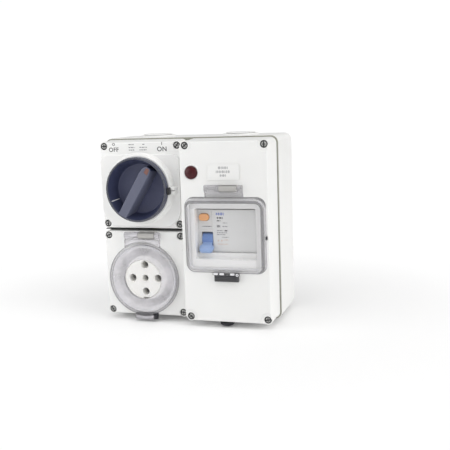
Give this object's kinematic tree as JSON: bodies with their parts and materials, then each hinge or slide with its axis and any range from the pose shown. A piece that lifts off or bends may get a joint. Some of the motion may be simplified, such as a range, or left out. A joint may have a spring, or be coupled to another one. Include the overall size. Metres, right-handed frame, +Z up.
{
  "type": "weatherproof switched socket outlet with residual current device",
  "caption": "Surface-mounted weatherproof power outlet: rotary isolator and lidded round pin socket beside a residual current device behind a hinged clear window.",
  "frame": {"origin": "centre of the box's flat back face, on the wall", "axes": "+Z up, -Y out of the wall towards the viewer, +X to the viewer's right"},
  "size_m": [0.1966, 0.1066, 0.2026],
  "materials": {
    "housing": "light grey, fine satin",
    "seal_rubber": "matte",
    "clear_silicone": "matte",
    "zinc_steel": "zinc plated",
    "brass": "bright",
    "clear_plastic": "clear grey polycarbonate",
    "dial_plastic": "slate blue, satin",
    "orange_plastic": "satin",
    "blue_plastic": "satin",
    "black_plastic": "satin",
    "red_lens": "dark red, glossy",
    "device_plastic": "pale grey, satin",
    "insert_plastic": "off-white, satin",
    "copper_winding": "enamelled copper",
    "cable_sheath": "matte"
  },
  "bodies": {
    "enclosure": {"back_box": "housing", "box_gasket": "seal_rubber", "conduit_plug_top_left": "housing", "conduit_plug_top_right": "housing", "conduit_plug_bottom_left": "black_plastic", "conduit_plug_bottom_right": "black_plastic", "drain_plug": "black_plastic", "cover_screw_01": "zinc_steel", "cover_screw_02": "zinc_steel", "cover_screw_03": "zinc_steel", "cover_screw_04": "zinc_steel", "cover_screw_05": "zinc_steel", "cover_screw_06": "zinc_steel", "cover_screw_07": "zinc_steel", "cover_screw_08": "zinc_steel", "cover_screw_09": "zinc_steel", "cover_screw_10": "zinc_steel", "cover_screw_11": "zinc_steel", "cover_screw_12": "zinc_steel", "switch_cover": "housing", "shaft_seal": "seal_rubber", "switch_body": "device_plastic", "line_contact": "brass", "load_contact": "brass", "socket_cover": "housing", "socket_insert": "insert_plastic", "contact_sleeve_top": "brass", "contact_sleeve_left": "brass", "contact_sleeve_centre": "brass", "contact_sleeve_right": "brass", "contact_sleeve_bottom": "brass", "socket_lid_pin": "zinc_steel", "socket_lid_spring": "zinc_steel", "socket_lid_seal": "clear_silicone", "rcd_cover": "housing", "rcd_window_pin": "zinc_steel", "rcd_window_spring": "zinc_steel", "rcd_window_seal": "clear_silicone", "rcd_case": "device_plastic", "rcd_toroid": "copper_winding", "din_rail": "zinc_steel", "lamp_lens": "red_lens", "lamp_body": "insert_plastic", "label_plate": "device_plastic", "supply_wire": "cable_sheath", "load_wire": "cable_sheath"},
    "dial": {"switch_dial": "dial_plastic", "dial_pointer": "orange_plastic", "switch_shaft": "zinc_steel", "switch_cam": "black_plastic"},
    "contacts": {"contact_carriage": "black_plastic", "moving_contact": "brass"},
    "lock": {"lock_slide": "black_plastic"},
    "socket_flap": {"socket_lid": "clear_plastic"},
    "socket_catch": {"socket_latch": "black_plastic"},
    "window": {"rcd_window": "clear_plastic"},
    "window_catch": {"rcd_latch": "black_plastic"},
    "toggle": {"rcd_toggle": "blue_plastic"},
    "test_button": {"rcd_test_button": "orange_plastic"},
    "rail_clip": {"din_clip": "black_plastic"}
  },
  "joints": [
    {"name": "dial_turn", "type": "hinge", "parent": "enclosure", "child": "dial", "pos_m": [-0.0485, -0.095, 0.0449], "axis": [0, -1, 0], "range_deg": [0, 64]},
    {"name": "contact_travel", "type": "slide", "parent": "enclosure", "child": "contacts", "axis": [1, 0, 0], "range_m": [0, 0.0025]},
    {"name": "lock_pull", "type": "slide", "parent": "enclosure", "child": "lock", "axis": [1, 0, 0], "range_m": [0, 0.0038]},
    {"name": "socket_lid_hinge", "type": "hinge", "parent": "enclosure", "child": "socket_flap", "pos_m": [-0.0485, -0.091, -0.0054], "axis": [-1, 0, 0], "range_deg": [0, 110]},
    {"name": "socket_catch_slide", "type": "slide", "parent": "enclosure", "child": "socket_catch", "axis": [0, 0, -1], "range_m": [0, 0.003]},
    {"name": "window_hinge", "type": "hinge", "parent": "enclosure", "child": "window", "pos_m": [0.0485, -0.1029, 0.0466], "axis": [-1, 0, 0], "range_deg": [0, 120]},
    {"name": "window_catch_slide", "type": "slide", "parent": "enclosure", "child": "window_catch", "axis": [0, 0, -1], "range_m": [0, 0.003]},
    {"name": "toggle_throw", "type": "hinge", "parent": "enclosure", "child": "toggle", "pos_m": [0.025, -0.0815, -0.009], "axis": [-1, 0, 0], "range_deg": [0, 76]},
    {"name": "test_press", "type": "slide", "parent": "enclosure", "child": "test_button", "axis": [0, 1, 0], "range_m": [0, 0.002], "stiffness_N_per_m": 150},
    {"name": "rail_clip_slide", "type": "slide", "parent": "enclosure", "child": "rail_clip", "axis": [0, 0, -1], "range_m": [0, 0.004]}
  ],
  "couplings": [
    {"joint": "contact_travel", "follows": "dial_turn", "m_per_rad": 0.002238}
  ]
}
